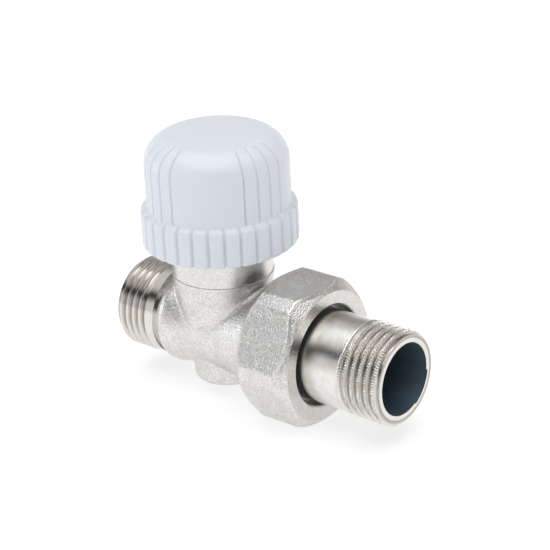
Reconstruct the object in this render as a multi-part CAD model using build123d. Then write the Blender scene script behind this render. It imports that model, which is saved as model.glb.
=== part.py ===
from build123d import *
import math
import os

os.makedirs("parts", exist_ok=True)

# Straight lockshield radiator valve, half inch, with union tail and push-on cap.
# Millimetres. +X runs from the inlet to the union tail, +Z is the spindle axis pointing up.
# Origin: centre of the inlet's end face.

# ---- overall layout ----
inlet_reach = 24.0          # inlet end face to spindle axis
spigot_reach = 22.3         # spindle axis to the end of the union spigot
tail_length = 26.05         # union tail, from its seat on the spigot to its end face
neck_top = 27.6             # pipe axis to the top face of the neck
boss_drop = 12.1            # pipe axis to the underside of the forged boss

# ---- pipe threads (parallel, 14 per inch) ----
pipe_pitch = 1.814
half_inch_crest = 20.955 / 2
half_inch_root = 18.631 / 2
inlet_crest = 20.645 / 2    # cut near the low end of the thread's tolerance
union_crest = 26.441 / 2
union_root = 24.117 / 2
thread_flat = 0.38          # width of a crest and of a root
thread_valleys = 5          # turns on the inlet and on the tail

# ---- forged body ----
inlet_first_valley = 0.65   # end face to the middle of the first thread valley
collar_length = 2.3
collar_r = 10.16
undercut_length = 1.6
undercut_r = 9.4
barrel_bulge_r = 10.85      # largest radius behind the undercut
barrel_waist_r = 9.8        # radius under the neck
shoulder_r = 12.7           # radius beside the union nut
shoulder_x = 16.4           # spindle axis to the end of the shoulder
neck_root_r = 9.45
neck_parting_r = 11.28
neck_parting_z = 13.4
neck_collar_r = 11.1
boss_r = 7.65
boss_round = 1.2
blend_r = 1.2               # fillet where neck and boss leave the barrel
cap_ring_r = 15.0           # ring that the cap grips
cap_ring_height = 6.2
cap_ring_cone = 0.9
cap_ring_cut = 0.6
neck_step = 0.12            # height of the soft step at the parting line

# ---- waterways ----
inlet_bore_r = 7.0
outlet_bore_r = 7.0
chamber_r = 8.0
chamber_floor = 1.6
chamber_wall = 1.7          # metal between chamber and inlet bore
seat_lip = 0.8
seat_port_r = 5.2
seat_lip_width = 1.0
sump_floor = -9.2
duct_r = 4.2
duct_z = -3.6

# ---- clearances ----
running = 0.05              # radial, between pieces that turn or slide on each other
ring_gap = 0.02             # between a seal and the groove floor under it
face_gap = 0.05             # between end faces that only just meet
seal_room = 2.4             # width of a seal's groove over the radius of its section

# ---- broken edges ----
edge_cut = 0.5
fine_cut = 0.3

# ---- bonnet ----
bonnet_thread_r = 9.6
bonnet_thread_depth = 10.1
bonnet_nose = 3.0
bonnet_hex = 20.0
bonnet_hex_height = 3.4
bonnet_boss_wall = 1.4
bonnet_boss_height = 3.0
bonnet_seal_r = 0.8
bonnet_seal_floor = 7.9
bonnet_seal_rise = 0.6      # underside of the thread to the seal's groove
bonnet_skirt = 1.6          # how far the round flange stands out from the flats
bonnet_skirt_cut = 0.9

# ---- spindle and its seals ----
spindle_lift = 3.0
spindle_thread_r = 5.0
spindle_thread_length = 6.0
stem_r = 4.0
stem_seal_r = 0.8
stem_seal_room = 2.2
stem_seal_rise = 1.45       # bottom of the stem bore to the middle of its seal
stem_bore_length = 3.0
gland_seal_r = 1.1
gland_bore_play = 0.28       # between the gland seal and the wall around it
gland_washer_height = 0.9
gland_hex = 13.0
gland_hex_height = 2.3
gland_skirt = 1.1           # how far the nut's corners stand out from its flats
gland_crown = 0.7
square_across = 5.5
square_height = 3.4
spindle_neck_r = 3.6
spindle_tip_r = 3.0
circlip_height = 0.6
stop_washer_height = 0.55
circlip_r = 6.0
circlip_width = 1.2
circlip_groove = 0.6        # depth of its groove in the spindle
circlip_mouth = 3.0         # opening of the clip

# ---- disc that closes the seat ----
disc_rubber_height = 2.0
jumper_play = 0.4           # between the disc holder and the chamber around it
jumper_rim_wall = 0.65      # disc holder's outside to its rubber
jumper_plate = 1.9
jumper_rim = 1.0
jumper_hub_r = 4.7
jumper_hub_height = 3.65
jumper_floor = 0.7          # metal between the screw hole and the spindle socket
wire_r = 0.35
wire_play = 0.05            # between the wire ring and the floors of its grooves
wire_mouth = 1.4
plate_r = 3.7
plate_height = 0.7
screw_r = 2.0
screw_head_r = 3.2
screw_head_height = 1.5
screw_slot = 0.8
screw_slot_depth = 0.7
screw_head_cut = 0.4

# ---- union ----
nut_rear = 14.7             # spindle axis to the back of the nut
nut_length = 13.9
nut_across = 30.5
nut_corner_cut = 0.95       # depth of the forged flat on each corner
nut_turned = 28.9           # turn of the hexagon about the pipe axis at rest, degrees
nut_face_r = 14.42          # radius of the flat ring at each end
nut_front_slope = 1.1       # length of the front chamfer over its height
nut_back_slope = 1.0
nut_hole_r = 11.4
nut_hole_chamfer = 0.4
nut_flange = 3.15
nut_lead_in = 1.6           # chamfer at the open end of the nut's thread
tail_plain_r = 10.16
tail_bore_r = 7.98
tail_first_valley = 1.95
tail_collar_r = 12.1
tail_collar = 3.0
tail_nose_r = 9.9
tail_nose = 3.4
tail_seal_r = 0.55
tail_seal_set = 1.0         # end of the nose to its seal's groove
key_recess_r = 8.4
key_recess_depth = 5.0
key_recess_span = 56.0
key_recess_angle = 216.0    # middle of the recess, from -Y towards +Z

# ---- cap ----
cap_cover = 6.8             # how far the cap comes down over the neck
cap_headroom = 6.0          # top of the square to the top of the cap
skirt_height = 8.7
skirt_ledge = 1.2           # height of the soft step from skirt to wall
skirt_r = 17.1
cap_wall_r = 15.7
cap_shoulder_r = 6.0
cap_crown = 0.35            # rise of the top in its middle
cap_thickness = 1.7
cap_ribs = 30
skirt_groove = 0.75
skirt_groove_depth = 0.5
wall_groove = 0.45
wall_groove_depth = 0.4
groove_stop = 0.5           # wall grooves end this far outside the flat of the top
rib_phase = -52.5           # direction of one rib, degrees from +X
groove_groups = (5, 13, 20, 27)   # rib at which each group of four wall grooves ends

rib_step = 360 / cap_ribs
gland_bore_r = stem_r + ring_gap + 2 * gland_seal_r + gland_bore_play
bonnet_boss_r = gland_bore_r + bonnet_boss_wall
jumper_r = chamber_r - jumper_play
disc_rubber_r = jumper_r - jumper_rim_wall
spindle_axis = Axis((inlet_reach, 0, 0), (0, 0, 1))


def turned_x(outline):
    """Solid of revolution about the pipe axis; the outline's points are (x, radius)."""
    wire = Polyline(*[(x, 0, r) for x, r in outline], close=True)
    return revolve(make_face(wire), Axis.X, 360)


def turned_z(outline):
    """Solid of revolution about the spindle axis; the outline's points are (radius, z)."""
    wire = Polyline(*[(inlet_reach + r, 0, z) for r, z in outline], close=True)
    return revolve(make_face(wire), spindle_axis, 360)


def tube_z(r_in, r_out, low, high):
    return turned_z([(r_in, low), (r_out, low), (r_out, high), (r_in, high)])


def rod_z(r, low, high):
    return tube_z(0, r, low, high)


def rod_x(r, start, end, z=0):
    return Pos((start + end) / 2, 0, z) * Rot(0, 90, 0) * Cylinder(r, end - start)


def hexagon_z(across, low, high):
    prism = extrude(RegularPolygon(across / 2, 6, major_radius=False), high - low)
    return Pos(inlet_reach, 0, low) * prism


def seal_z(inner_r, section_r, z):
    return Pos(inlet_reach, 0, z) * Torus(inner_r + section_r, section_r)


def thread_outline(valleys, crest_r, root_r):
    """Outline of annular thread valleys between crests, as (x, radius) points."""
    half_root = thread_flat / 2
    half_crest = (pipe_pitch - thread_flat) / 2
    points = []
    for x in valleys:
        points += [(x - half_crest, crest_r), (x - half_root, root_r)]
        points += [(x + half_root, root_r), (x + half_crest, crest_r)]
    return points


# ---- places that follow from the sizes above ----
half_crest = (pipe_pitch - thread_flat) / 2
inlet_valleys = [inlet_first_valley + pipe_pitch * i for i in range(thread_valleys)]
collar_x = inlet_valleys[-1] + half_crest
undercut_x = collar_x + collar_length
barrel_x = undercut_x + undercut_length
spigot_end = inlet_reach + spigot_reach
tail_seat = spigot_end + face_gap
tail_end = spigot_end + tail_length
nose_depth = tail_nose + face_gap
shoulder_end = inlet_reach + shoulder_x
seat_z = chamber_floor + seat_lip
cap_ring_z = neck_top - cap_ring_height
thread_floor = neck_top - bonnet_thread_depth
bonnet_bottom = thread_floor + face_gap
nose_bottom = bonnet_bottom - bonnet_nose
thread_low = nose_bottom + 1.0
thread_bore_top = thread_low + spindle_thread_length + spindle_lift + edge_cut
gland_floor = thread_bore_top + stem_bore_length
bonnet_top = neck_top + bonnet_hex_height + bonnet_boss_height
washer_low = gland_floor + 2 * gland_seal_r + 2 * ring_gap
gland_low = washer_low + gland_washer_height
gland_top = bonnet_top + gland_hex_height
square_low = gland_top - fine_cut
square_top = square_low + square_height
cap_bottom = neck_top - cap_cover
cap_height = square_top + cap_headroom - cap_bottom
rubber_low = seat_z + ring_gap
jumper_low = rubber_low + disc_rubber_height
socket_floor = jumper_low + jumper_plate + jumper_floor
jumper_top = jumper_low + jumper_plate + jumper_hub_height
tip_low = socket_floor + face_gap
wire_z = (socket_floor + jumper_top) / 2
neck_low = jumper_top + 0.2
stop_top = nose_bottom - spindle_lift - face_gap
circlip_top = stop_top - stop_washer_height
nut_back = inlet_reach + nut_rear
nut_front = nut_back + nut_length


def body_barrel():
    """Barrel, inlet thread and union spigot, turned about the pipe axis."""
    inlet = [(0, 0), (0, half_inch_root)]
    inlet += thread_outline(inlet_valleys, inlet_crest, half_inch_root)[2:-1]
    inlet += [(collar_x, collar_r), (undercut_x, collar_r)]
    inlet += [(undercut_x, undercut_r), (barrel_x, undercut_r)]
    inlet += [(barrel_x, barrel_bulge_r - edge_cut)]
    spigot = [(shoulder_end, shoulder_r), (shoulder_end, union_root)]
    first = shoulder_end + half_crest
    turns = int((spigot_end - first) / pipe_pitch)
    spigot += thread_outline([first + pipe_pitch * i for i in range(turns + 1)],
                             union_crest, union_root)[2:-1]
    spigot += [(spigot_end, union_root), (spigot_end, 0)]
    on_x = [(x, 0, r) for x, r in inlet]
    off_x = [(x, 0, r) for x, r in spigot]
    skin = Spline(on_x[-1], (barrel_x + 1.1, 0, barrel_bulge_r),
                  (inlet_reach - 5.5, 0, barrel_waist_r + 0.1),
                  (inlet_reach, 0, barrel_waist_r),
                  (inlet_reach + 5.5, 0, barrel_waist_r + 0.2),
                  (shoulder_end - 4, 0, shoulder_r - 1.4), off_x[0])
    outline = Polyline(*on_x) + skin + Polyline(*off_x) + Line(off_x[-1], on_x[0])
    return revolve(make_face(outline), Axis.X, 360)


def body_neck():
    """Tapered neck with a machined collar, a parting step and the ring for the cap."""
    return turned_z([(0, 0), (neck_root_r, 0), (neck_parting_r, neck_parting_z - 0.6),
                     (neck_parting_r, neck_parting_z), (neck_collar_r, neck_parting_z + neck_step),
                     (neck_collar_r, cap_ring_z - cap_ring_cone),
                     (cap_ring_r - cap_ring_cut, cap_ring_z),
                     (cap_ring_r, cap_ring_z + cap_ring_cut),
                     (cap_ring_r, neck_top - cap_ring_cut),
                     (cap_ring_r - cap_ring_cut, neck_top),
                     (0, neck_top)])


def body_boss():
    return turned_z([(0, -boss_drop), (boss_r, -boss_drop), (boss_r, 0), (0, 0)])


def waterways():
    """Everything that is hollow in the body."""
    inlet_stop = inlet_reach - chamber_r - chamber_wall
    outlet_stop = inlet_reach + seat_port_r + chamber_wall
    hollow = rod_x(inlet_bore_r, -1, inlet_stop)
    hollow += rod_x(duct_r, inlet_stop - 1.5, inlet_reach, duct_z)
    hollow += rod_z(seat_port_r, sump_floor, seat_z + 1)
    seat_r = seat_port_r + seat_lip_width
    hollow += tube_z(seat_r, chamber_r, chamber_floor, seat_z)
    hollow += rod_z(chamber_r, seat_z, thread_floor)
    hollow += rod_z(bonnet_thread_r, thread_floor, neck_top + 1)
    hollow += rod_x(outlet_bore_r, outlet_stop, spigot_end) - rod_z(seat_r, -20, seat_z)
    hollow += rod_x(tail_nose_r + running, spigot_end - nose_depth, spigot_end + 1)
    return hollow


def make_valve_body():
    barrel = body_barrel()
    neck = body_neck()
    boss = body_boss()
    forging = barrel + neck + boss
    rim = [e for e in forging.edges().filter_by(GeomType.CIRCLE)
           if abs(e.center().Z + boss_drop) < 0.01]
    forging = fillet(rim, boss_round)
    seams = [e for e in forging.edges()
             if e.geom_type not in (GeomType.CIRCLE, GeomType.LINE)
             and abs(e.center().X - inlet_reach) < 2 * neck_root_r
             and e.length > 20]
    forging = fillet(seams, blend_r)
    return forging - waterways()


def make_bonnet():
    shank_r = bonnet_thread_r - running
    body = turned_z([(0, nose_bottom), (chamber_r - 2 * running, nose_bottom),
                     (chamber_r - 2 * running, bonnet_bottom), (shank_r, bonnet_bottom),
                     (shank_r, neck_top), (0, neck_top)])
    head = hexagon_z(bonnet_hex, neck_top, neck_top + bonnet_hex_height)
    flat_r = bonnet_hex / 2
    crown_top = neck_top + bonnet_hex_height
    corner_r = flat_r + bonnet_skirt
    crown = turned_z([(0, neck_top), (corner_r - 1.5, neck_top),
                      (corner_r, neck_top + bonnet_skirt_cut),
                      (corner_r, crown_top - bonnet_skirt_cut),
                      (flat_r - fine_cut, crown_top), (0, crown_top)])
    body += head & crown
    body += rod_z(bonnet_boss_r, neck_top, bonnet_top)
    body -= rod_z(spindle_thread_r + running, nose_bottom - 1, thread_bore_top)
    body -= rod_z(stem_r + running, thread_bore_top, gland_floor + 1)
    body -= rod_z(gland_bore_r, gland_floor, bonnet_top + 1)
    groove_low = bonnet_bottom + bonnet_seal_rise
    body -= tube_z(bonnet_seal_floor, shank_r + 1, groove_low,
                   groove_low + seal_room * bonnet_seal_r)
    stem_groove = stem_r + ring_gap + 2 * stem_seal_r + running
    middle = thread_bore_top + stem_seal_rise
    half = stem_seal_room / 2 * stem_seal_r
    return body - tube_z(stem_r, stem_groove, middle - half, middle + half)


def make_bonnet_seal():
    return seal_z(bonnet_seal_floor + ring_gap, bonnet_seal_r,
                  bonnet_bottom + bonnet_seal_rise + seal_room / 2 * bonnet_seal_r)


def make_stem_seal():
    return seal_z(stem_r + ring_gap, stem_seal_r, thread_bore_top + stem_seal_rise)


def make_gland_seal():
    return seal_z(stem_r + ring_gap, gland_seal_r, gland_floor + gland_seal_r + ring_gap)


def make_gland_washer():
    return tube_z(stem_r + running, gland_bore_r - running, washer_low, gland_low)


def make_gland_nut():
    nut = rod_z(gland_bore_r - running, gland_low, bonnet_top)
    head = hexagon_z(gland_hex, bonnet_top, gland_top)
    flat_r = gland_hex / 2
    crown = turned_z([(0, bonnet_top), (flat_r + gland_skirt, bonnet_top),
                      (flat_r + gland_skirt, gland_top - gland_crown),
                      (flat_r - fine_cut, gland_top), (0, gland_top)])
    return nut + (head & crown) - rod_z(stem_r + running, gland_low - 1, gland_top + 1)


def make_spindle():
    """Rising spindle: tip for the jumper, neck, thread, stem and a square for the key."""
    thread_top = thread_low + spindle_thread_length
    rod = turned_z([(0, tip_low), (spindle_tip_r, tip_low), (spindle_tip_r, neck_low),
                    (spindle_neck_r, neck_low), (spindle_neck_r, thread_low),
                    (spindle_thread_r, thread_low + edge_cut),
                    (spindle_thread_r, thread_top - edge_cut),
                    (stem_r, thread_top), (stem_r, square_top - edge_cut),
                    (stem_r - edge_cut, square_top), (0, square_top)])
    square = Pos(inlet_reach, 0, square_low + square_height) * Box(
        square_across, square_across, 2 * square_height)
    rod -= rod_z(stem_r + 1, square_low, square_top + 1) - square
    rod -= tube_z(spindle_tip_r - 2 * wire_r + wire_play, spindle_tip_r + 1,
                  wire_z - wire_r - face_gap, wire_z + wire_r + face_gap)
    return rod - tube_z(spindle_neck_r - circlip_groove, spindle_neck_r + 1,
                        circlip_top - circlip_height, circlip_top)


def make_spindle_circlip():
    """Open spring clip in the groove of the spindle's neck."""
    clip = tube_z(spindle_neck_r - circlip_groove + ring_gap, circlip_r - circlip_width,
                  circlip_top - circlip_height + face_gap, circlip_top - ring_gap)
    mouth = Pos(inlet_reach + circlip_r, 0, circlip_top) * Box(
        2 * circlip_r, circlip_mouth, 4 * circlip_height)
    return clip - mouth


def make_stop_washer():
    return tube_z(spindle_neck_r + running, circlip_r, circlip_top, stop_top)


def make_jumper():
    """Disc holder: cup for the rubber below, socket for the spindle's tip above."""
    plate_top = jumper_low + jumper_plate
    rim_r = jumper_r - jumper_rim_wall + running
    jumper = turned_z([(0, jumper_low), (rim_r, jumper_low),
                       (rim_r, jumper_low - jumper_rim),
                       (jumper_r, jumper_low - jumper_rim), (jumper_r, plate_top - edge_cut),
                       (jumper_r - edge_cut, plate_top), (jumper_hub_r, plate_top),
                       (jumper_hub_r, jumper_top), (0, jumper_top)])
    jumper -= rod_z(spindle_tip_r + running, socket_floor, jumper_top + 1)
    jumper -= tube_z(spindle_tip_r, spindle_tip_r + 2 * wire_r - wire_play,
                     wire_z - wire_r - face_gap, wire_z + wire_r + face_gap)
    return jumper - rod_z(screw_r, jumper_low - 1, jumper_low + jumper_plate)


def make_jumper_circlip():
    """Square wire ring that snaps into both grooves and keeps the jumper on the spindle."""
    reach = 2 * (wire_r - wire_play)
    ring = tube_z(spindle_tip_r - reach, spindle_tip_r + reach,
                  wire_z - wire_r, wire_z + wire_r)
    mouth = Pos(inlet_reach - spindle_tip_r, 0, wire_z) * Box(2 * spindle_tip_r, wire_mouth, 2)
    return ring - mouth


def make_disc_washer():
    return tube_z(screw_r + running, disc_rubber_r, rubber_low, jumper_low)


def make_washer_plate():
    return tube_z(screw_r + running, plate_r, rubber_low - plate_height, rubber_low)


def make_washer_screw():
    head_top = rubber_low - plate_height
    head_low = head_top - screw_head_height
    screw = rod_z(screw_r - running, head_top, jumper_low + jumper_plate - fine_cut)
    screw += turned_z([(0, head_low), (screw_head_r - screw_head_cut, head_low),
                       (screw_head_r, head_low + screw_head_cut),
                       (screw_head_r, head_top), (0, head_top)])
    return screw - Pos(inlet_reach, 0, head_low) * Box(
        3 * screw_head_r, screw_slot, 2 * screw_slot_depth)


def make_union_nut():
    """Hexagon nut with an inner flange that pulls the tail's collar against the spigot."""
    corner_r = nut_across / math.sqrt(3)
    hexagon = RegularPolygon(nut_across / 2, 6, major_radius=False)
    corners = RegularPolygon(corner_r - nut_corner_cut, 6, major_radius=False)
    outline = hexagon & Rot(0, 0, 30) * corners
    prism = Pos(nut_back, 0, 0) * Rot(nut_turned, 0, 0) * Rot(0, 90, 0) * extrude(
        outline, nut_length)
    bevel = corner_r - nut_face_r
    lens = turned_x([(nut_back, 0), (nut_back, nut_face_r),
                     (nut_back + bevel * nut_back_slope, corner_r),
                     (nut_front - bevel * nut_front_slope, corner_r),
                     (nut_front, nut_face_r), (nut_front, 0)])
    nut = prism & lens
    pocket_r = union_crest + running
    flange_x = nut_front - nut_flange
    cut = turned_x([(nut_back - 1, 0), (nut_back - 1, pocket_r + nut_lead_in),
                    (nut_back - 1 + nut_lead_in, pocket_r),
                    (flange_x, pocket_r), (flange_x, nut_hole_r),
                    (nut_front - nut_hole_chamfer, nut_hole_r),
                    (nut_front + 1, nut_hole_r + nut_hole_chamfer + 1), (nut_front + 1, 0)])
    return nut - cut


def make_union_tail():
    """Tail with a collar for the nut, a nose in the spigot and a pipe thread at the end."""
    valleys = [tail_end - tail_first_valley - pipe_pitch * i for i in range(thread_valleys)]
    valleys.reverse()
    nose_x = tail_seat - tail_nose
    floor = tail_nose_r - 2 * tail_seal_r - 2 * ring_gap
    groove_x = nose_x + tail_seal_set
    collar_end = tail_seat + tail_collar
    groove_end = groove_x + seal_room * tail_seal_r
    outline = [(nose_x, tail_bore_r), (nose_x, tail_nose_r - fine_cut),
               (nose_x + fine_cut, tail_nose_r), (groove_x, tail_nose_r), (groove_x, floor),
               (groove_end, floor), (groove_end, tail_nose_r), (tail_seat, tail_nose_r),
               (tail_seat, tail_collar_r), (collar_end, tail_collar_r),
               (collar_end, tail_plain_r)]
    outline += [(valleys[0] - half_crest, tail_plain_r)]
    outline += thread_outline(valleys, half_inch_crest, half_inch_root)[1:]
    outline += [(tail_end - (half_inch_crest - half_inch_root), half_inch_crest),
                (tail_end, half_inch_root), (tail_end, tail_bore_r)]
    tail = turned_x(outline)
    reach = 2 * key_recess_r
    spread = reach * math.tan(math.radians(key_recess_span / 2))
    wedge = make_face(Polyline((0, 0), (reach, spread), (reach, -spread), close=True))
    sector = Rot(0, 0, -key_recess_angle) * extrude(wedge, key_recess_depth + 1)
    recess_x = tail_end - key_recess_depth
    sector = Plane(origin=(recess_x, 0, 0), x_dir=(0, -1, 0), z_dir=(1, 0, 0)) * sector
    return tail - (rod_x(key_recess_r, recess_x, tail_end + 1) & sector)


def make_tail_seal():
    floor = tail_nose_r - 2 * tail_seal_r - 2 * ring_gap
    x = tail_seat - tail_nose + tail_seal_set + seal_room / 2 * tail_seal_r
    return Pos(x, 0, 0) * Rot(0, 90, 0) * Torus(floor + ring_gap + tail_seal_r, tail_seal_r)


def cap_outline(inset, low):
    """Closed outline of the cap's wall and top, moved inwards by inset, for a turning."""
    wall = cap_wall_r - inset
    bend = cap_shoulder_r - inset
    top = cap_bottom + cap_height - cap_crown - inset
    flat = wall - bend
    x0 = inlet_reach
    half = math.sqrt(0.5) * bend
    sides = Polyline((x0, 0, top + cap_crown), (x0, 0, low), (x0 + wall, 0, low),
                     (x0 + wall, 0, top - bend))
    shoulder = ThreePointArc((x0 + wall, 0, top - bend),
                             (x0 + flat + half, 0, top - bend + half), (x0 + flat, 0, top))
    ball = (flat ** 2 + cap_crown ** 2) / (2 * cap_crown)
    drop = ball - math.sqrt(ball ** 2 - flat ** 2 / 4)
    dome = ThreePointArc((x0 + flat, 0, top), (x0 + flat / 2, 0, top + cap_crown - drop),
                         (x0, 0, top + cap_crown))
    return make_face(sides + shoulder + dome)


def make_cap():
    skirt_top = cap_bottom + skirt_height
    ledge = skirt_top - skirt_ledge
    cap = revolve(cap_outline(0, cap_bottom), spindle_axis, 360)
    cap += turned_z([(0, cap_bottom), (skirt_r - fine_cut, cap_bottom),
                     (skirt_r, cap_bottom + fine_cut),
                     (skirt_r, ledge), (skirt_r - 0.35, ledge + 0.5),
                     (cap_wall_r + 0.25, skirt_top - 0.15), (cap_wall_r - 0.1, skirt_top),
                     (0, skirt_top)])
    rib = Pos(skirt_r, 0, (cap_bottom + ledge) / 2) * Box(
        2 * skirt_groove_depth, skirt_groove, ledge - cap_bottom + 1.2)
    for i in range(cap_ribs):
        angle = rib_phase + rib_step * (i + 0.5)
        cap -= Pos(inlet_reach, 0, 0) * Rot(0, 0, angle) * rib
    blade = cap_outline(-3, skirt_top) - cap_outline(wall_groove_depth, skirt_top - 1)
    flat = cap_wall_r - cap_shoulder_r + groove_stop
    blade -= Pos(inlet_reach, 0, 0) * Plane.XZ * Rectangle(2 * flat, 200)
    blade = extrude(blade, wall_groove / 2, both=True)
    for last in groove_groups:
        for i in range(4):
            angle = rib_phase + rib_step * (last - i)
            cap -= blade.rotate(spindle_axis, angle)
    hollow = revolve(cap_outline(cap_thickness, cap_bottom - 1), spindle_axis, 360)
    hollow += rod_z(cap_ring_r + running, cap_bottom - 1, neck_top)
    return cap - hollow


pieces = {
    "valve_body": make_valve_body,
    "bonnet": make_bonnet,
    "bonnet_o_ring": make_bonnet_seal,
    "stem_o_ring": make_stem_seal,
    "gland_o_ring": make_gland_seal,
    "gland_washer": make_gland_washer,
    "gland_nut": make_gland_nut,
    "spindle": make_spindle,
    "spindle_circlip": make_spindle_circlip,
    "stop_washer": make_stop_washer,
    "jumper": make_jumper,
    "jumper_circlip": make_jumper_circlip,
    "disc_washer": make_disc_washer,
    "washer_plate": make_washer_plate,
    "washer_screw": make_washer_screw,
    "union_nut": make_union_nut,
    "union_tail": make_union_tail,
    "tail_o_ring": make_tail_seal,
    "cap": make_cap,
}

for name, make in pieces.items():
    export_step(make(), f"parts/{name}.step")
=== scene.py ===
import bpy
import bmesh
import math
from mathutils import Matrix, Vector


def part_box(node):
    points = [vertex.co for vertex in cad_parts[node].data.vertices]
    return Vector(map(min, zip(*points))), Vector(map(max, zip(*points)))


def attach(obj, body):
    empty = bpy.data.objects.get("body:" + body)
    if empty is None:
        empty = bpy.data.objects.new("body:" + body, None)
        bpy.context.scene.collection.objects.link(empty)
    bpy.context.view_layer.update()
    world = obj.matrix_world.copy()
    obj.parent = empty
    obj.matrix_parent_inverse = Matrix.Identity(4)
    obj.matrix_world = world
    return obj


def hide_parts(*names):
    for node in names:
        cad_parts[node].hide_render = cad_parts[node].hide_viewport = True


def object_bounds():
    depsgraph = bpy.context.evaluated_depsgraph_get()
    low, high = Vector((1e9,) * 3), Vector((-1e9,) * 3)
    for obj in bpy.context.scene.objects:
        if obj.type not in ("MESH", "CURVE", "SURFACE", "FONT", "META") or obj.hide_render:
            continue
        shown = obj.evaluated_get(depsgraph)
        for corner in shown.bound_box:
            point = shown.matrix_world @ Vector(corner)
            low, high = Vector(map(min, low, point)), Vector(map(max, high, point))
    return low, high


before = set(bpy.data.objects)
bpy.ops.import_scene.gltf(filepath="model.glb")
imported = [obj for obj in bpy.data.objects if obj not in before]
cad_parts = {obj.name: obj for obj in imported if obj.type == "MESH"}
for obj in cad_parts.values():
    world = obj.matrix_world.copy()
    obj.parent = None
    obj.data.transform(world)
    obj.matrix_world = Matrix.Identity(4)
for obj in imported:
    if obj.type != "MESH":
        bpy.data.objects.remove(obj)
cad_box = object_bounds()
mm = 0.001
full_turn = 2 * math.pi

# ---- places read from the frame, in millimetres from its origin ----


def ends(node):
    """Lowest and highest corner of a CAD node, in millimetres."""
    low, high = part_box(node)
    return Vector(low) / mm, Vector(high) / mm


cap_low, cap_high = ends("cap")
nut_low, nut_high = ends("union_nut")
tail_low, tail_high = ends("union_tail")
spindle_x = (cap_low.x + cap_high.x) / 2
floor_z = cad_box[0][2]

# ---- half-inch pipe thread ----
pipe_pitch = 1.814
crest_r = 20.955 / 2
root_r = 18.631 / 2
thread_flat = 0.38          # width of a crest and of a root

# ---- view ----
view_azimuth = 39.81        # degrees, turned from the front towards the tail
view_elevation = 24.85
view_roll = -2.88
view_distance = 435.4
view_aim = Vector((spindle_x + 19.87, -6.25, 19.20))
view_lens = 135.5
view_sensor = 36


def place_camera():
    """Sets the camera view_distance away from view_aim, looking at it."""
    a, e, r = (math.radians(v) for v in (view_azimuth, view_elevation, view_roll))
    back = Vector((math.sin(a) * math.cos(e), -math.cos(a) * math.cos(e), math.sin(e)))
    level = Vector((math.cos(a), math.sin(a), 0))
    right = math.cos(r) * level + math.sin(r) * back.cross(level)
    up = back.cross(right)
    data = bpy.data.cameras.new("camera")
    data.lens = view_lens
    data.sensor_width = view_sensor
    data.clip_start = 0.01
    data.clip_end = 100
    camera = bpy.data.objects.new("camera", data)
    place = (view_aim + back * view_distance) * mm
    camera.matrix_world = Matrix.Translation(place) @ Matrix(
        (right, up, back)).transposed().to_4x4()
    bpy.context.collection.objects.link(camera)
    bpy.context.scene.camera = camera


# ---- shader helpers ----
def new_material(name, colour, roughness, metallic=0.0):
    material = bpy.data.materials.new(name)
    material.use_nodes = True
    shader = material.node_tree.nodes["Principled BSDF"]
    shader.inputs["Base Color"].default_value = (*colour, 1)
    shader.inputs["Roughness"].default_value = roughness
    shader.inputs["Metallic"].default_value = metallic
    return material, material.node_tree, shader


def add(tree, kind, **values):
    """Adds a node; values named after its inputs set them, others set its properties."""
    node = tree.nodes.new(kind)
    for key, value in values.items():
        label = key.replace("_", " ")
        if label in node.inputs:
            node.inputs[label].default_value = value
        else:
            setattr(node, key, value)
    return node


def feed(tree, socket, value):
    """Gives a socket a number or a colour, or links another node's output to it."""
    if isinstance(value, (int, float)):
        socket.default_value = value
    elif isinstance(value, tuple):
        socket.default_value = (*value, 1)
    else:
        tree.links.new(value, socket)


def math_node(tree, operation, *values):
    """A sum of numbers or sockets; the operation goes by Blender's name for it."""
    node = tree.nodes.new("ShaderNodeMath")
    node.operation = operation
    for socket, value in zip(node.inputs, values):
        feed(tree, socket, value)
    return node.outputs[0]


def product(tree, a, b):
    return math_node(tree, "MULTIPLY", a, b)


def inverse(tree, mask):
    return math_node(tree, "SUBTRACT", 1.0, mask)


def step_up(tree, value, low, high):
    """0 below low, 1 above high, smooth between."""
    node = tree.nodes.new("ShaderNodeMapRange")
    node.interpolation_type = "SMOOTHSTEP"
    node.inputs["From Min"].default_value = low
    node.inputs["From Max"].default_value = high
    tree.links.new(value, node.inputs["Value"])
    return node.outputs["Result"]


def step_down(tree, value, low, high):
    """1 below low, 0 above high, smooth between."""
    return inverse(tree, step_up(tree, value, low, high))


def mix_values(tree, factor, a, b):
    node = tree.nodes.new("ShaderNodeMix")
    node.data_type = "FLOAT"
    for socket, value in zip((node.inputs[0], node.inputs[2], node.inputs[3]), (factor, a, b)):
        feed(tree, socket, value)
    return node.outputs[0]


def mix_colours(tree, factor, a, b):
    node = tree.nodes.new("ShaderNodeMix")
    node.data_type = "RGBA"
    for socket, value in zip((node.inputs[0], node.inputs[6], node.inputs[7]), (factor, a, b)):
        feed(tree, socket, value)
    return node.outputs[2]


def object_place(tree):
    """Object coordinates in millimetres: (vector, x, y, z)."""
    coordinates = tree.nodes.new("ShaderNodeTexCoord")
    scale = tree.nodes.new("ShaderNodeVectorMath")
    scale.operation = "SCALE"
    scale.inputs["Scale"].default_value = 1 / mm
    split = tree.nodes.new("ShaderNodeSeparateXYZ")
    tree.links.new(coordinates.outputs["Object"], scale.inputs[0])
    tree.links.new(scale.outputs[0], split.inputs[0])
    return scale.outputs[0], split.outputs["X"], split.outputs["Y"], split.outputs["Z"]


def radius_about_x(tree, y, z):
    return math_node(tree, "SQRT", math_node(
        tree, "ADD", product(tree, y, y), product(tree, z, z)))


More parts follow.
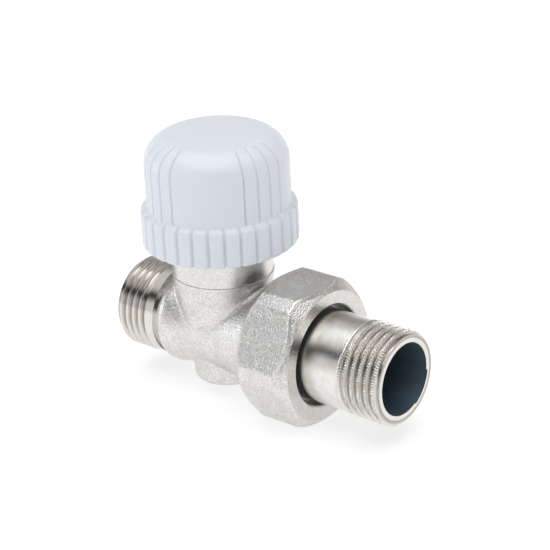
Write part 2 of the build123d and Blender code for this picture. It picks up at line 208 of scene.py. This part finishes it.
def bump_into(tree, shader, height, distance, chain=None):
    """Bump of a height into the shader, distance in metres, on top of the chained normal."""
    bump = tree.nodes.new("ShaderNodeBump")
    bump.inputs["Strength"].default_value = 1.0
    bump.inputs["Distance"].default_value = distance
    tree.links.new(height, bump.inputs["Height"])
    if chain is not None:
        tree.links.new(chain, bump.inputs["Normal"])
    tree.links.new(bump.outputs["Normal"], shader.inputs["Normal"])
    return bump.outputs["Normal"]


# ---- studio ----
tent_low = (0.98, 0.98, 1.0)
tent_cream = (0.92, 0.91, 0.88)
tent_top = (1.0, 0.99, 0.97)
tent_strength = 0.76
# Each belt lists heights, from 0 level with the floor to 1 overhead, and their colours.
left_belt = ((0.00, tent_low), (0.28, tent_low), (0.47, (0.08, 0.08, 0.09)),
             (0.58, (0.05, 0.05, 0.05)), (0.70, tent_cream), (1.00, tent_top))
behind_belt = ((0.00, tent_low), (0.10, (0.90, 0.88, 0.88)), (0.30, (0.50, 0.46, 0.43)),
               (0.55, (0.42, 0.40, 0.38)), (0.72, tent_cream), (1.00, tent_top))
beside_belt = ((0.00, tent_low), (0.05, (0.80, 0.80, 0.82)), (0.15, (0.12, 0.11, 0.12)),
               (0.46, (0.09, 0.08, 0.09)), (0.64, tent_cream), (1.00, tent_top))
floor_half = 6.0            # metres
floor_colour = (0.42, 0.42, 0.425)
floor_glow = 0.70


def area_light(name, place, aim, width, height, power, colour=(1, 1, 1)):
    data = bpy.data.lights.new(name, "AREA")
    data.shape = "RECTANGLE"
    data.size = width
    data.size_y = height
    data.energy = power
    data.color = colour
    light = bpy.data.objects.new(name, data)
    light.location = place
    light.rotation_euler = (Vector(aim) - Vector(place)).to_track_quat("-Z", "Y").to_euler()
    bpy.context.collection.objects.link(light)


def belt_colour(tree, height, stops):
    """Colour of a belt at the height that the view direction points to."""
    ramp = tree.nodes.new("ShaderNodeValToRGB")
    belt = ramp.color_ramp
    for element, (place, colour) in zip(belt.elements, (stops[0], stops[-1])):
        element.position = place
        element.color = (*colour, 1)
    for place, colour in stops[1:-1]:
        belt.elements.new(place).color = (*colour, 1)
    tree.links.new(height, ramp.inputs["Fac"])
    return ramp.outputs["Color"]


def make_world():
    """White tent with dark belts, which put streaks on the metal."""
    world = bpy.data.worlds.new("studio")
    world.use_nodes = True
    tree = world.node_tree
    tree.nodes.clear()
    out = tree.nodes.new("ShaderNodeOutputWorld")
    background = tree.nodes.new("ShaderNodeBackground")
    coordinates = tree.nodes.new("ShaderNodeTexCoord")
    split = tree.nodes.new("ShaderNodeSeparateXYZ")
    tree.links.new(coordinates.outputs["Generated"], split.inputs[0])
    tree.links.new(background.outputs[0], out.inputs[0])
    left, far, near = (belt_colour(tree, split.outputs["Z"], stops)
                       for stops in (left_belt, behind_belt, beside_belt))
    behind = step_up(tree, split.outputs["Y"], -0.35, 0.25)
    beside = product(tree, step_up(tree, split.outputs["X"], 0.25, 0.52),
                     inverse(tree, behind))
    whole = mix_colours(tree, beside, mix_colours(tree, behind, left, far), near)
    tree.links.new(whole, background.inputs["Color"])
    background.inputs["Strength"].default_value = tent_strength
    bpy.context.scene.world = world


def make_floor():
    bm = bmesh.new()
    bmesh.ops.create_grid(bm, x_segments=1, y_segments=1, size=floor_half)
    bmesh.ops.translate(bm, verts=bm.verts, vec=(0, 0, floor_z))
    mesh = bpy.data.meshes.new("floor")
    bm.to_mesh(mesh)
    bm.free()
    floor = bpy.data.objects.new("floor", mesh)
    bpy.context.collection.objects.link(floor)
    material, _, shader = new_material("pale_floor", floor_colour, 0.9)
    shader.inputs["Specular IOR Level"].default_value = 0.0
    shader.inputs["Emission Color"].default_value = (1, 1, 1, 1)
    shader.inputs["Emission Strength"].default_value = floor_glow
    mesh.materials.append(material)


def make_studio():
    bpy.context.scene.view_settings.view_transform = "Standard"
    place_camera()
    make_world()
    make_floor()
    middle = (spindle_x * mm + 0.015, 0, 0.01)
    area_light("overhead", (0.08, -0.15, 0.80), middle, 0.9, 0.9, 4.0)
    area_light("left_window", (-0.60, -0.30, 0.12), middle, 0.25, 0.3, 0.4, (0.95, 0.97, 1.0))


# ---- effects that several metals share ----
def new_group(name, inputs, outputs):
    group = bpy.data.node_groups.new(name, "ShaderNodeTree")
    for label, kind, value in inputs:
        socket = group.interface.new_socket(name=label, in_out="INPUT", socket_type=kind)
        if value is not None:
            socket.default_value = value
    for label, kind in outputs:
        group.interface.new_socket(name=label, in_out="OUTPUT", socket_type=kind)
    return group, group.nodes.new("NodeGroupInput"), group.nodes.new("NodeGroupOutput")


def make_blasted_grain():
    """Pitted skin of a shot-blasted forging: a height and a tone that follows the pits."""
    group, given, out = new_group(
        "blasted_grain",
        (("Place", "NodeSocketVector", None), ("Pits per mm", "NodeSocketFloat", 3.0)),
        (("Height", "NodeSocketFloat"), ("Tone", "NodeSocketFloat")))
    fine = add(group, "ShaderNodeTexNoise", Detail=1.5, Roughness=0.5)
    cells = add(group, "ShaderNodeTexVoronoi", feature="SMOOTH_F1", Smoothness=0.6)
    broad = add(group, "ShaderNodeTexNoise", Scale=0.35, Detail=4.0)
    for node in (fine, cells, broad):
        group.links.new(given.outputs["Place"], node.inputs["Vector"])
    group.links.new(given.outputs["Pits per mm"], fine.inputs["Scale"])
    group.links.new(given.outputs["Pits per mm"], cells.inputs["Scale"])
    pits = product(group, cells.outputs["Distance"], 0.6)
    height = math_node(group, "ADD", fine.outputs["Fac"], pits)
    tone = mix_values(group, 0.25, fine.outputs["Fac"], broad.outputs["Fac"])
    group.links.new(height, out.inputs["Height"])
    group.links.new(tone, out.inputs["Tone"])
    return group


def make_turning_lines():
    """Fine rings left by a lathe tool about the X axis, with some dull patches."""
    group, given, out = new_group(
        "turning_lines",
        (("Place", "NodeSocketVector", None), ("Lines per mm", "NodeSocketFloat", 6.0)),
        (("Height", "NodeSocketFloat"), ("Dullness", "NodeSocketFloat")))
    stretch = add(group, "ShaderNodeMapping", Scale=(1.0, 0.02, 0.02))
    lines = add(group, "ShaderNodeTexNoise", Detail=2.0)
    patches = add(group, "ShaderNodeTexNoise", Scale=0.5, Detail=5.0, Roughness=0.6)
    group.links.new(given.outputs["Place"], stretch.inputs["Vector"])
    group.links.new(stretch.outputs[0], lines.inputs["Vector"])
    group.links.new(given.outputs["Lines per mm"], lines.inputs["Scale"])
    group.links.new(given.outputs["Place"], patches.inputs["Vector"])
    group.links.new(lines.outputs["Fac"], out.inputs["Height"])
    group.links.new(patches.outputs["Fac"], out.inputs["Dullness"])
    return group


blasted_grain = make_blasted_grain()
turning_lines = make_turning_lines()


def place_group(tree, group, place, **values):
    node = tree.nodes.new("ShaderNodeGroup")
    node.node_tree = group
    tree.links.new(place, node.inputs["Place"])
    for key, value in values.items():
        node.inputs[key.replace("_", " ")].default_value = value
    return node


# ---- nickel finishes; lengths in millimetres ----
nickel_bright = (0.775, 0.768, 0.752)
nickel_dull = (0.57, 0.555, 0.54)
nickel_warm = (0.72, 0.69, 0.64)
body_turned_dull = (0.66, 0.63, 0.59)
nut_turned_dull = (0.52, 0.46, 0.42)
# Dark colours inside the bores and the nut's hole: painted shade.
forged_bore_shade = (0.36, 0.37, 0.39)
tail_bore_shade = (0.22, 0.30, 0.37)
# Darker colours painted into the thread valleys: painted shade.
inlet_valley_shade = (0.50, 0.47, 0.43)
tail_valley_shade = (0.42, 0.39, 0.35)
bore_rough = 0.55
tail_bore_r = 7.98
body_bore_r = 7.05
nut_bore_r = 11.3
nut_ring_r = 14.3           # the turned ring on the nut's front face ends here
inlet_thread_end = 8.4      # along the pipe, from the inlet's face
inlet_turned_end = 12.1
spigot_start = 16.3         # along the pipe, from the spindle's axis
parting_line_z = 13.35
tail_thread_length = 11.0
pits_per_mm = 3.3
worn_low, worn_high = 0.36, 0.58    # tones between which the plate turns from dull to bright


def thread_valleys(tree, radius, along):
    """Mask of a pipe thread's valleys, where shade is painted, on the stretch of pipe where
    along is 1.
    """
    valley = step_down(tree, radius, root_r - 0.1, crest_r - 0.35)
    outer_side = step_up(tree, radius, 8.8, 9.1)
    return product(tree, valley, product(tree, outer_side, along))


def forged_nickel(name, machined, grain_depth, turned_dull, bore_r):
    """Nickel plate over a blasted forging; machined(tree, x, y, z) masks its turned faces.

    Within bore_r of the pipe axis the colour is painted shade: dark, and dull.
    """
    material, tree, shader = new_material(name, nickel_bright, 0.35, 1.0)
    place, x, y, z = object_place(tree)
    turned = machined(tree, x, y, z)
    grain = place_group(tree, blasted_grain, place, Pits_per_mm=pits_per_mm)
    lines = place_group(tree, turning_lines, place)
    worn = step_up(tree, grain.outputs["Tone"], worn_low, worn_high)
    forged = mix_colours(tree, worn, nickel_dull, nickel_bright)
    clean = mix_colours(tree, lines.outputs["Dullness"], turned_dull, nickel_bright)
    plated = mix_colours(tree, turned, forged, clean)
    radius = radius_about_x(tree, y, z)
    on_inlet = step_down(tree, x, inlet_thread_end, inlet_thread_end + 0.3)
    # Painted shade in the inlet thread's valleys.
    valley_shaded = thread_valleys(tree, radius, on_inlet)
    plated = mix_colours(tree, valley_shaded, plated, inlet_valley_shade)
    # Painted shade within bore_r of the pipe axis.
    outside = step_up(tree, radius, bore_r, bore_r + 0.15)
    tree.links.new(mix_colours(tree, outside, forged_bore_shade, plated), shader.inputs["Base Color"])
    rough = mix_values(tree, grain.outputs["Tone"], 0.36, 0.22)
    smooth = mix_values(tree, lines.outputs["Dullness"], 0.07, 0.20)
    skin = mix_values(tree, turned, rough, smooth)
    tree.links.new(mix_values(tree, outside, bore_rough, skin), shader.inputs["Roughness"])
    pits = product(tree, grain.outputs["Height"], inverse(tree, turned))
    pitted = bump_into(tree, shader, pits, grain_depth * mm)
    rings = product(tree, lines.outputs["Height"], turned)
    bump_into(tree, shader, rings, 0.012 * mm, chain=pitted)
    return material


def body_machined(tree, x, y, z):
    """Inlet thread, collar and undercut, union spigot, and the neck above its parting line."""
    inlet = step_down(tree, x, inlet_turned_end, inlet_turned_end + 0.25)
    spigot_x = spindle_x + spigot_start
    spigot = step_up(tree, x, spigot_x, spigot_x + 0.2)
    neck = product(tree, step_up(tree, z, parting_line_z, parting_line_z + 0.15), 0.45)
    return math_node(tree, "MAXIMUM", math_node(tree, "MAXIMUM", inlet, spigot), neck)


def nut_machined(tree, x, y, z):
    """Turned ends of the nut: the flat ring and the hole."""
    ring = step_down(tree, radius_about_x(tree, y, z), nut_ring_r, nut_ring_r + 0.2)
    return product(tree, ring, 0.7)


def turned_nickel(name):
    """Bright nickel plate over turned brass, with faint rings and dull patches."""
    material, tree, shader = new_material(name, nickel_bright, 0.2, 1.0)
    place, x, y, z = object_place(tree)
    lines = place_group(tree, turning_lines, place)
    grain = place_group(tree, blasted_grain, place, Pits_per_mm=5.0)
    dull = step_up(tree, lines.outputs["Dullness"], 0.35, 0.70)
    plated = mix_colours(tree, dull, nickel_bright, nickel_warm)
    radius = radius_about_x(tree, y, z)
    thread_start = tail_high.x - tail_thread_length
    # Painted shade in the tail thread's valleys.
    valley_shaded = thread_valleys(tree, radius, step_up(tree, x, thread_start, thread_start + 0.6))
    plated = mix_colours(tree, valley_shaded, plated, tail_valley_shade)
    # Painted shade inside the tail's bore, short of its mouth.
    outside = step_up(tree, radius, tail_bore_r + 0.5, tail_bore_r + 0.65)
    mouth = step_up(tree, x, tail_high.x - 0.35, tail_high.x - 0.05)
    outside = math_node(tree, "MAXIMUM", outside, mouth)
    tree.links.new(mix_colours(tree, outside, tail_bore_shade, plated), shader.inputs["Base Color"])
    smooth = mix_values(tree, dull, 0.05, 0.12)
    tree.links.new(mix_values(tree, outside, bore_rough, smooth), shader.inputs["Roughness"])
    grained = bump_into(tree, shader, grain.outputs["Height"], 0.030 * mm)
    bump_into(tree, shader, lines.outputs["Height"], 0.010 * mm, chain=grained)
    return material


# ---- other finishes ----
# Both cap colours hold a painted bluish tint, standing in for cool light reflected on the cap's
# shaded sides.
cap_white_cool_cast = (0.76, 0.80, 0.865)
cap_haze_cool_cast = (0.73, 0.78, 0.855)


def white_plastic(name):
    material, tree, shader = new_material(name, cap_white_cool_cast, 0.32)
    place = object_place(tree)[0]
    haze = add(tree, "ShaderNodeTexNoise", Scale=0.25, Detail=3.0)
    skin = add(tree, "ShaderNodeTexNoise", Scale=5.0, Detail=2.0)
    for node in (haze, skin):
        tree.links.new(place, node.inputs["Vector"])
    # Random haze between two whites, both carrying the painted bluish tint.
    tree.links.new(mix_colours(tree, haze.outputs["Fac"], cap_haze_cool_cast, cap_white_cool_cast),
                   shader.inputs["Base Color"])
    tree.links.new(mix_values(tree, haze.outputs["Fac"], 0.26, 0.38), shader.inputs["Roughness"])
    bump_into(tree, shader, skin.outputs["Fac"], 0.006 * mm)
    return material


def plain_turned(name, bright, dull, roughness):
    """Turned metal of the inner pieces."""
    material, tree, shader = new_material(name, bright, roughness, 1.0)
    place = object_place(tree)[0]
    marks = add(tree, "ShaderNodeTexNoise", Scale=1.0, Detail=4.0)
    stretch = add(tree, "ShaderNodeMapping", Scale=(0.15, 0.15, 7.0))
    rings = add(tree, "ShaderNodeTexNoise", Scale=1.0, Detail=2.0)
    tree.links.new(place, marks.inputs["Vector"])
    tree.links.new(place, stretch.inputs["Vector"])
    tree.links.new(stretch.outputs[0], rings.inputs["Vector"])
    tree.links.new(mix_colours(tree, marks.outputs["Fac"], dull, bright),
                   shader.inputs["Base Color"])
    tree.links.new(mix_values(tree, marks.outputs["Fac"], roughness + 0.12, roughness),
                   shader.inputs["Roughness"])
    bump_into(tree, shader, rings.outputs["Fac"], 0.01 * mm)
    return material


def soft_seal(name, colour, fleck, roughness):
    """Rubber or plastic of the seals, with a faint mottle."""
    material, tree, shader = new_material(name, colour, roughness)
    skin = add(tree, "ShaderNodeTexNoise", Scale=4.0, Detail=4.0)
    tree.links.new(object_place(tree)[0], skin.inputs["Vector"])
    tree.links.new(mix_colours(tree, skin.outputs["Fac"], colour, fleck),
                   shader.inputs["Base Color"])
    tree.links.new(mix_values(tree, skin.outputs["Fac"], roughness - 0.1, roughness + 0.1),
                   shader.inputs["Roughness"])
    bump_into(tree, shader, skin.outputs["Fac"], 0.01 * mm)
    return material


# ---- modelling helpers; lengths in millimetres, angles in radians unless a note says else ----
doublings = 6


def course(points, pitch):
    """The same outline with more points, none further apart than pitch."""
    out = [points[0]]
    for (a, b), (c, d) in zip(points, points[1:]):
        cuts = max(1, math.ceil(math.hypot(c - a, d - b) / pitch))
        out += [(a + (c - a) * i / cuts, b + (d - b) * i / cuts) for i in range(1, cuts + 1)]
    return out


def arc(centre, radius, start, end, steps):
    """Points of an arc, with angles in degrees."""
    angles = [math.radians(start + (end - start) * i / steps) for i in range(steps + 1)]
    return [(centre[0] + radius * math.cos(t), centre[1] + radius * math.sin(t)) for t in angles]


def spin_outline(places, axis, centre, steps):
    """Turns an outline about an axis; places are its points in space, in metres.

    One narrow sector is spun in the given steps. It is then copied and turned until it
    closes, which is quicker than one full spin of steps x 2 ** doublings.
    """
    bm = bmesh.new()
    verts = [bm.verts.new(p) for p in places]
    edges = [bm.edges.new(pair) for pair in zip(verts, verts[1:])]
    turn = full_turn / 2 ** doublings
    bmesh.ops.spin(bm, geom=verts + edges, cent=centre, axis=axis, dvec=(0, 0, 0),
                   angle=turn, steps=steps, use_merge=False, use_duplicate=False)
    for _ in range(doublings):
        copy = bmesh.ops.duplicate(bm, geom=bm.verts[:] + bm.edges[:] + bm.faces[:])["geom"]
        moved = [part for part in copy if isinstance(part, bmesh.types.BMVert)]
        bmesh.ops.rotate(bm, verts=moved, cent=centre,
                         matrix=Matrix.Rotation(turn, 3, Vector(axis)))
        turn *= 2
    bmesh.ops.remove_doubles(bm, verts=bm.verts, dist=0.001 * mm)
    bmesh.ops.recalc_face_normals(bm, faces=bm.faces)
    return bm


def finish_piece(bm, name, body, node, material, crease=32):
    """Makes the object; edges that fold by more than crease degrees stay crisp."""
    mesh = bpy.data.meshes.new(name)
    for face in bm.faces:
        face.smooth = True
    bm.to_mesh(mesh)
    bm.free()
    mesh.set_sharp_from_angle(angle=math.radians(crease))
    mesh.materials.append(material)
    piece = bpy.data.objects.new(name, mesh)
    bpy.context.collection.objects.link(piece)
    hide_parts(node)
    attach(piece, body)
    return piece


def between(value, low=0.0, high=1.0):
    """The value, kept from low to high."""
    return max(low, min(high, value))


def soft_min(a, b, width):
    """The smaller of two lengths, with the corner between them rounded over width."""
    h = between(0.5 + 0.5 * (b - a) / width)
    return b + (a - b) * h - width * h * (1 - h)


def notch(distance, half_width):
    """1 in the middle of a rounded groove, 0 outside it."""
    if abs(distance) >= half_width:
        return 0.0
    return 0.5 + 0.5 * math.cos(math.pi * distance / half_width)


def bump_at(distance, width):
    """1 at no distance, fading to 0 well beyond width."""
    return math.exp(-(distance / width) ** 2)


# ---- cap ----
cap_steps = 16
cap_wall = 1.7
cap_bend = 6.0
crown_rise = 0.35
crown_steps = 8
bend_steps = 22
inner_bend_steps = 8
cap_stop_z = 27.6           # underside of the cap's inner wall, over the neck's ring
cap_fit_r = 15.05
skirt_r = 17.1
skirt_height = 8.7
skirt_chamfer = 0.35
wall_r = 15.7
cap_ribs = 30
rib_step = full_turn / cap_ribs
rib_phase = math.radians(-52.5)
skirt_groove, skirt_groove_half = 0.66, 0.56
tooth_crown = 0.10
wall_groove, wall_groove_half = 0.46, 0.34
groove_group_ends = (5, 13, 20, 27)     # number of the last rib in each group
grooves_per_group = 4


def near_step(angle, phase):
    """Signed turn from angle to the nearest of the ribs that start at phase."""
    return (angle - phase + rib_step / 2) % rib_step - rib_step / 2


def skirt_cut(angle, r):
    """Depth cut between the teeth of the skirt, whose faces are slightly crowned."""
    groove = skirt_groove * notch(near_step(angle, rib_phase + rib_step / 2) * r,
                                  skirt_groove_half)
    crown = tooth_crown * (abs(near_step(angle, rib_phase)) / (rib_step / 2)) ** 2
    return (groove + crown) * between((r - wall_r) / 0.8)


def wall_cut(angle, r, rise, above_skirt):
    """Depth of the grooves that run up the wall in groups and die out on the bend."""
    rib = (angle - rib_phase) / rib_step
    number = round(rib) % cap_ribs
    if min((last - number) % cap_ribs for last in groove_group_ends) >= grooves_per_group:
        return 0.0
    half_width = wall_groove_half + 0.1 * max(0.0, rise - 1.0)
    fade = min(1.0, (math.pi / 2 - rise) / 0.25) * between((above_skirt + 0.05) / 0.15)
    return wall_groove * notch((rib - round(rib)) * rib_step * r, half_width) * fade


def cap_outline():
    """(radius, height) points: up the outside, over the crown, and down the inside."""
    low, high = cap_low.z, cap_high.z
    skirt_top = low + skirt_height
    top = high - crown_rise
    bend_z = top - cap_bend
    flat = wall_r - cap_bend
    outside = [(skirt_r - skirt_chamfer, low), (skirt_r, low + skirt_chamfer),
               (skirt_r, skirt_top - 1.3), (skirt_r - 0.15, skirt_top - 0.85),
               (skirt_r - 0.45, skirt_top - 0.55), (wall_r + 0.2, skirt_top - 0.15),
               (wall_r, skirt_top + 0.15), (wall_r, bend_z)]
    shoulder = arc((flat, bend_z), cap_bend, 0, 90, bend_steps)
    outward = [1 - i / crown_steps for i in range(1, crown_steps + 1)]
    crown = [(flat * out, top + crown_rise * (1 - out ** 2)) for out in outward]
    inside = [(0, high - cap_wall)] + [(flat * i / 3, top - cap_wall) for i in (1, 2)]
    inside += arc((flat, bend_z), cap_bend - cap_wall, 90, 0, inner_bend_steps)
    inside += [(wall_r - cap_wall, cap_stop_z), (cap_fit_r, cap_stop_z), (cap_fit_r, low),
               outside[0]]
    return course(outside, 0.6) + shoulder[1:] + crown + inside


def make_cap(material):
    skirt_top = cap_low.z + skirt_height
    bend_z = cap_high.z - crown_rise - cap_bend
    flat = wall_r - cap_bend
    places = [((spindle_x + r) * mm, 0, z * mm) for r, z in cap_outline()]
    bm = spin_outline(places, (0, 0, 1), (spindle_x * mm, 0, 0), cap_steps)
    for vert in bm.verts:
        x, y, z = vert.co.x / mm - spindle_x, vert.co.y / mm, vert.co.z / mm
        r, angle = math.hypot(x, y), math.atan2(y, x)
        rise = cut = 0.0
        if z < skirt_top + 0.1:
            if r >= wall_r - 0.1:
                cut = skirt_cut(angle, r)
        elif r >= flat - 1.5:
            rise = math.asin(between((z - bend_z) / cap_bend))
            if r >= flat + cap_bend * math.cos(rise) - 0.3:
                cut = wall_cut(angle, r, rise, z - skirt_top)
        if cut <= 0:
            continue
        scale = (r - cut * math.cos(rise)) / r
        vert.co.x = (spindle_x + x * scale) * mm
        vert.co.y = y * scale * mm
        vert.co.z = (z - cut * math.sin(rise)) * mm
    return finish_piece(bm, "ribbed_cap", "cap", "cap", material, crease=50)


# ---- union nut ----
nut_steps = 12
nut_across = 30.5
nut_corner = nut_across / math.sqrt(3)
nut_corner_cut = 0.95
nut_corner_round = 0.25
nut_edge_round = 0.16
nut_turned = math.radians(28.9)
nut_sixth = full_turn / 6
nut_face_r = 14.42
nut_hole_r = 11.2
nut_flange = 3.15
nut_pocket_r = 13.27
burr_reach = 6              # behind the nut's front face
burr_height, burr_width = 0.14, 0.20
hollow_depth, hollow_width, hollow_back = 0.18, 0.30, 0.42
burr_end, burr_fade = math.radians(23), math.radians(4)


def turn_from_flat(angle):
    """Signed turn from the middle of the nearest flat of the hexagon."""
    return (angle - nut_turned + nut_sixth / 2) % nut_sixth - nut_sixth / 2


def hexagon_reach(angle):
    """Distance from the pipe axis to the hexagon's flats and cut corners at an angle."""
    turn = turn_from_flat(angle)
    flat = nut_across / 2 / math.cos(turn)
    cut = (nut_corner - nut_corner_cut) / math.cos(nut_sixth / 2 - abs(turn))
    return soft_min(flat, cut, nut_corner_round)


def burr(past_flat, angle):
    """Raised lip with a hollow beside it, where the front bevel cuts through a flat."""
    lip = burr_height * bump_at(past_flat, burr_width)
    hollow = hollow_depth * bump_at(past_flat + hollow_back, hollow_width)
    away_from_corner = between((burr_end - abs(turn_from_flat(angle))) / burr_fade)
    return (lip - hollow) * away_from_corner


def make_nut(material):
    back, front = nut_low.x, nut_high.x
    bevel = nut_corner - nut_face_r
    outline = [(back + 0.6, nut_pocket_r), (back, nut_pocket_r + 0.6), (back, nut_face_r - 0.1),
               (back + 0.12, nut_face_r), (back + bevel, nut_corner),
               (front - 1.1 * bevel, nut_corner), (front - 0.10, nut_face_r + 0.05),
               (front - 0.10, nut_face_r), (front, nut_face_r - 0.05),
               (front, nut_hole_r + 0.4), (front - 0.4, nut_hole_r),
               (front - nut_flange, nut_hole_r), (front - nut_flange, nut_pocket_r),
               (back + 0.6, nut_pocket_r)]
    faces = course(outline[:4], 0.6) + course(outline[3:5], 0.2)[1:]
    faces += course(outline[4:6], 0.5)[1:] + course(outline[5:7], 0.13)[1:]
    faces += course(outline[6:], 0.8)[1:]
    places = [(x * mm, 0, r * mm) for x, r in faces]
    bm = spin_outline(places, (1, 0, 0), (0, 0, 0), nut_steps)
    for vert in bm.verts:
        x, y, z = (part / mm for part in vert.co)
        r, angle = math.hypot(y, z), math.atan2(z, -y)
        if r < nut_face_r - 0.2:
            continue
        flats = hexagon_reach(angle)
        reach = soft_min(r, flats, nut_edge_round)
        if x > front - burr_reach:
            reach += burr(r - flats, angle)
        vert.co.y = y * reach / r * mm
        vert.co.z = between(z * reach / r, nut_low.z, nut_high.z) * mm
    return finish_piece(bm, "hexagon_nut", "nut", "union_nut", material)


# ---- union tail ----
tail_steps = 10
tail_plain_r = 10.2
tail_skin_r = 9.9           # of the nose that sits in the spigot
tail_groove_r = 8.76        # of the seal's groove
tail_nose_length = 3.4
tail_collar_r = 12.1
tail_collar_width = 3.0
tail_thread_step = 0.095
front_valley = 1.95         # behind the tail's end
valley_turns = 4
run_in_length, run_in_depth = 1.2, 0.22
crest_band = 0.6            # the notches reach this far down from the crest
tail_notches = 107
notch_depth = 0.42
end_chamfer, end_chamfer_slope = 0.35, 1.3
key_seat_r = 8.4
key_seat_depth = 5.0
key_seat_turn = (188, 244)  # degrees


def thread_depth(turns):
    """Depth below the crest of a rounded pipe thread; turns counts from a valley's middle."""
    away = abs((turns + 0.5) % 1.0 - 0.5) * pipe_pitch
    slope = (away - thread_flat / 2) / (pipe_pitch / 2 - thread_flat)
    return (crest_r - root_r) * (1 - between(slope))


def threaded_reach(angle, behind_end, from_start):
    """Radius of the tail's thread, with its knurled crest, its run-in and its end chamfer."""
    turns = (front_valley - behind_end) / pipe_pitch + angle / full_turn
    run_in = between(from_start / run_in_length)
    depth = thread_depth(turns) * run_in + run_in_depth * (1 - run_in)
    crest = max(0.0, 1 - depth / crest_band)
    tooth = 0.5 + 0.5 * math.cos(angle * tail_notches + 2.2 * math.sin(3 * angle))
    reach = crest_r - depth - notch_depth * crest * tooth ** 2 * run_in
    return soft_min(reach, root_r + end_chamfer + end_chamfer_slope * behind_end, 0.12)


def make_tail(material):
    nose, end = tail_low.x, tail_high.x
    seat = nose + tail_nose_length
    collar_end = seat + tail_collar_width
    start = end - front_valley - valley_turns * pipe_pitch - 1.0
    outline = [(nose, tail_bore_r), (nose, tail_skin_r - 0.3), (nose + 0.3, tail_skin_r),
               (nose + 1.0, tail_skin_r), (nose + 1.0, tail_groove_r),
               (nose + 2.32, tail_groove_r), (nose + 2.32, tail_skin_r), (seat, tail_skin_r),
               (seat, tail_collar_r - 0.1), (seat + 0.1, tail_collar_r),
               (collar_end - 0.1, tail_collar_r), (collar_end, tail_collar_r - 0.1),
               (collar_end, tail_plain_r + 0.15), (collar_end + 0.15, tail_plain_r),
               (collar_end + 0.3, tail_plain_r), (start - 0.25, tail_plain_r),
               (start - 0.1, tail_plain_r)]
    thread = course([(start, crest_r), (end, crest_r)], tail_thread_step)
    mouth = [(end, 8.6), (end, tail_bore_r + 0.05), (end - 0.05, tail_bore_r),
             (end - key_seat_depth, tail_bore_r), (nose, tail_bore_r)]
    places = [(x * mm, 0, r * mm) for x, r in course(outline, 3.0) + thread + course(mouth, 5.0)]
    bm = spin_outline(places, (1, 0, 0), (0, 0, 0), tail_steps)
    for vert in bm.verts:
        x, y, z = (part / mm for part in vert.co)
        r, angle = math.hypot(y, z), math.atan2(z, -y)
        reach = r
        if crest_r - 0.01 < r < crest_r + 0.01 and x > start - 0.05:
            reach = threaded_reach(angle, end - x, x - start)
        elif r < tail_bore_r + 0.2 and x > end - key_seat_depth + 0.1:
            if key_seat_turn[0] < math.degrees(angle) % 360 < key_seat_turn[1]:
                reach = key_seat_r
        if reach != r:
            vert.co.y = y * reach / r * mm
            vert.co.z = z * reach / r * mm
    return finish_piece(bm, "threaded_tail", "tail", "union_tail", material)


# ---- pieces and finishes ----
def dress(material, *nodes):
    """Gives a finish to CAD nodes that keep their own mesh."""
    for node in nodes:
        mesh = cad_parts[node].data
        mesh.materials.clear()
        mesh.materials.append(material)


make_studio()
make_cap(white_plastic("white_cap_plastic"))
make_nut(forged_nickel("nut_nickel", nut_machined, 0.12, nut_turned_dull, nut_bore_r))
make_tail(turned_nickel("tail_nickel"))
dress(forged_nickel("body_nickel", body_machined, 0.10, body_turned_dull, body_bore_r),
      "valve_body")
dress(plain_turned("turned_brass", (0.83, 0.66, 0.34), (0.66, 0.50, 0.24), 0.22),
      "bonnet", "gland_nut", "spindle", "jumper")
dress(plain_turned("spring_steel", (0.62, 0.62, 0.63), (0.45, 0.45, 0.47), 0.28),
      "spindle_circlip", "jumper_circlip", "washer_plate", "washer_screw")
dress(soft_seal("seal_rubber", (0.015, 0.015, 0.016), (0.04, 0.04, 0.042), 0.5),
      "bonnet_o_ring", "stem_o_ring", "gland_o_ring", "tail_o_ring", "disc_washer")
dress(soft_seal("waxy_ptfe", (0.86, 0.86, 0.84), (0.92, 0.92, 0.90), 0.4),
      "gland_washer", "stop_washer")
